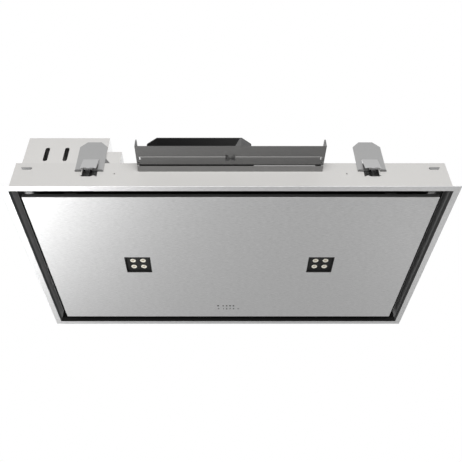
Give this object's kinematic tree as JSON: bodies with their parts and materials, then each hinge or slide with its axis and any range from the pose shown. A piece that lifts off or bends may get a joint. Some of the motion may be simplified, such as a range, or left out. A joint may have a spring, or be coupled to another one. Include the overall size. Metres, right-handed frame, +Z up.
{
  "type": "ceiling range hood",
  "caption": "Flush ceiling range hood: flanged steel box with a hinged flat panel, lamps, touch marks, filters, a blower with side outlet and clamps that hold it in the ceiling.",
  "frame": {"origin": "centre of the ceiling cut-out, in the plane of the ceiling's face, which the flange's hem meets", "axes": "+Z up into the ceiling, +X along the hood's length, +Y towards the cook's side with the touch marks; the duct outlet faces -Y"},
  "size_m": [1.2, 0.7611, 0.21],
  "materials": {
    "shell_steel": "satin pale grey coat on folded steel",
    "flange_steel": "fine brushed stainless",
    "panel_steel": "fine brushed stainless",
    "black_sheet": "gloss black",
    "galvanised": "galvanised sheet",
    "clamp_steel": "galvanised sheet",
    "spring_steel": "bright spring steel",
    "shelf_steel": "dark galvanised sheet",
    "filter_aluminium": "satin extrusion",
    "filter_mesh": "pleated expanded mesh",
    "latch_plastic": "fine grain",
    "lamp_black": "matt black die casting",
    "lamp_face": "satin dark grey",
    "lens_cream": "frosted warm white optic",
    "circuit_green": "solder mask",
    "black_plastic": "fine grain",
    "terminal_grey": "plain",
    "box_steel": "satin pale grey coat on folded steel",
    "gland_plastic": "plain",
    "casing_black": "moulded black",
    "inlet_steel": "pressed galvanised sheet",
    "wheel_plastic": "moulded black",
    "rotor_steel": "black deep-drawn steel",
    "shaft_steel": "ground steel",
    "stator_copper": "enamelled windings on a laminated core",
    "magnet": "black magnet in a steel shoe",
    "screw_steel": "zinc plated"
  },
  "bodies": {
    "housing": {"housing_shell": "shell_steel", "flange_frame": "flange_steel", "perimeter_shroud": "black_sheet", "filter_tray": "galvanised", "filter_frame_left": "filter_aluminium", "filter_frame_right": "filter_aluminium", "filter_meshes": "filter_mesh", "blower_casing": "casing_black", "inlet_ring": "inlet_steel", "motor_plate": "galvanised", "motor_stator": "stator_copper", "motor_bearings": "shaft_steel", "motor_screws": "screw_steel", "flap_post": "shaft_steel", "electronics_box": "box_steel", "electronics_lid": "box_steel", "power_board": "circuit_green", "terminal_block": "terminal_grey", "cable_gland": "gland_plastic", "lamp_driver": "black_plastic", "junction_box": "box_steel", "box_gusset": "galvanised", "duct_shelf": "shelf_steel", "shelf_screws": "screw_steel", "clamp_guides": "galvanised", "hinge_brackets": "black_sheet", "hinge_pins": "black_sheet", "catch_magnets": "magnet"},
    "panel": {"panel_skin": "panel_steel", "panel_backing": "black_sheet", "lamp_housing_left": "lamp_black", "lamp_housing_right": "lamp_black", "lamp_faceplate_left": "lamp_face", "lamp_faceplate_right": "lamp_face", "lamp_lenses_left": "lens_cream", "lamp_lenses_right": "lens_cream", "touch_board": "circuit_green", "touch_housing": "black_plastic", "hinge_leaves": "black_sheet", "catch_plates": "galvanised"},
    "fan": {"impeller": "wheel_plastic", "motor_rotor": "rotor_steel", "motor_shaft": "shaft_steel"},
    "flap_left": {"backdraught_flap_left": "casing_black"},
    "flap_right": {"backdraught_flap_right": "casing_black"},
    "latch_left": {"filter_latch_left": "latch_plastic"},
    "latch_right": {"filter_latch_right": "latch_plastic"},
    "clamp_near_left": {"clamp_plate_near_left": "clamp_steel"},
    "tongue_near_left": {"clamp_tongue_near_left": "spring_steel"},
    "screw_near_left": {"clamp_screw_near_left": "screw_steel"},
    "clamp_near_right": {"clamp_plate_near_right": "clamp_steel"},
    "tongue_near_right": {"clamp_tongue_near_right": "spring_steel"},
    "screw_near_right": {"clamp_screw_near_right": "screw_steel"},
    "clamp_far_right": {"clamp_plate_far_right": "clamp_steel"},
    "tongue_far_right": {"clamp_tongue_far_right": "spring_steel"},
    "screw_far_right": {"clamp_screw_far_right": "screw_steel"},
    "clamp_far_left": {"clamp_plate_far_left": "clamp_steel"},
    "tongue_far_left": {"clamp_tongue_far_left": "spring_steel"},
    "screw_far_left": {"clamp_screw_far_left": "screw_steel"}
  },
  "joints": [
    {"name": "panel_hinge", "type": "hinge", "parent": "housing", "child": "panel", "pos_m": [0, -0.29, 0.025], "axis": [-1, 0, 0], "range_deg": [0, 90]},
    {"name": "fan_spin", "type": "hinge", "parent": "housing", "child": "fan", "pos_m": [-0.056, -0.06, 0.15], "axis": [0, 0, 1], "continuous": true},
    {"name": "flap_left_hinge", "type": "hinge", "parent": "housing", "child": "flap_left", "pos_m": [-0.08725, -0.186, 0.15], "axis": [0, 0, 1], "range_deg": [0, 80], "stiffness_Nm_per_rad": 0.02},
    {"name": "flap_right_hinge", "type": "hinge", "parent": "housing", "child": "flap_right", "pos_m": [-0.08725, -0.186, 0.15], "axis": [0, 0, -1], "range_deg": [0, 80], "stiffness_Nm_per_rad": 0.02},
    {"name": "latch_left_slide", "type": "slide", "parent": "housing", "child": "latch_left", "axis": [0, 1, 0], "range_m": [0, 0.006], "stiffness_N_per_m": 300},
    {"name": "latch_right_slide", "type": "slide", "parent": "housing", "child": "latch_right", "axis": [0, 1, 0], "range_m": [0, 0.006], "stiffness_N_per_m": 300},
    {"name": "clamp_near_left_slide", "type": "slide", "parent": "housing", "child": "clamp_near_left", "axis": [0, 0, -1], "range_m": [0, 0.036]},
    {"name": "tongue_near_left_flex", "type": "hinge", "parent": "clamp_near_left", "child": "tongue_near_left", "pos_m": [-0.3805, -0.33225, 0.113], "axis": [1, 0, 0], "range_deg": [0, 15], "stiffness_Nm_per_rad": 0.5},
    {"name": "screw_near_left_turn", "type": "hinge", "parent": "housing", "child": "screw_near_left", "pos_m": [-0.3805, -0.3165, 0.07], "axis": [0, 0, 1], "range_deg": [0, 12960]},
    {"name": "clamp_near_right_slide", "type": "slide", "parent": "housing", "child": "clamp_near_right", "axis": [0, 0, -1], "range_m": [0, 0.036]},
    {"name": "tongue_near_right_flex", "type": "hinge", "parent": "clamp_near_right", "child": "tongue_near_right", "pos_m": [0.3805, -0.33225, 0.113], "axis": [1, 0, 0], "range_deg": [0, 15], "stiffness_Nm_per_rad": 0.5},
    {"name": "screw_near_right_turn", "type": "hinge", "parent": "housing", "child": "screw_near_right", "pos_m": [0.3805, -0.3165, 0.07], "axis": [0, 0, 1], "range_deg": [0, 12960]},
    {"name": "clamp_far_right_slide", "type": "slide", "parent": "housing", "child": "clamp_far_right", "axis": [0, 0, -1], "range_m": [0, 0.036]},
    {"name": "tongue_far_right_flex", "type": "hinge", "parent": "clamp_far_right", "child": "tongue_far_right", "pos_m": [0.3805, 0.33225, 0.113], "axis": [-1, 0, 0], "range_deg": [0, 15], "stiffness_Nm_per_rad": 0.5},
    {"name": "screw_far_right_turn", "type": "hinge", "parent": "housing", "child": "screw_far_right", "pos_m": [0.3805, 0.3165, 0.07], "axis": [0, 0, 1], "range_deg": [0, 12960]},
    {"name": "clamp_far_left_slide", "type": "slide", "parent": "housing", "child": "clamp_far_left", "axis": [0, 0, -1], "range_m": [0, 0.036]},
    {"name": "tongue_far_left_flex", "type": "hinge", "parent": "clamp_far_left", "child": "tongue_far_left", "pos_m": [-0.3805, 0.33225, 0.113], "axis": [-1, 0, 0], "range_deg": [0, 15], "stiffness_Nm_per_rad": 0.5},
    {"name": "screw_far_left_turn", "type": "hinge", "parent": "housing", "child": "screw_far_left", "pos_m": [-0.3805, 0.3165, 0.07], "axis": [0, 0, 1], "range_deg": [0, 12960]}
  ],
  "couplings": [
    {"joint": "screw_near_left_turn", "follows": "clamp_near_left_slide", "rad_per_m": 6283.2},
    {"joint": "screw_near_right_turn", "follows": "clamp_near_right_slide", "rad_per_m": 6283.2},
    {"joint": "screw_far_right_turn", "follows": "clamp_far_right_slide", "rad_per_m": 6283.2},
    {"joint": "screw_far_left_turn", "follows": "clamp_far_left_slide", "rad_per_m": 6283.2}
  ]
}
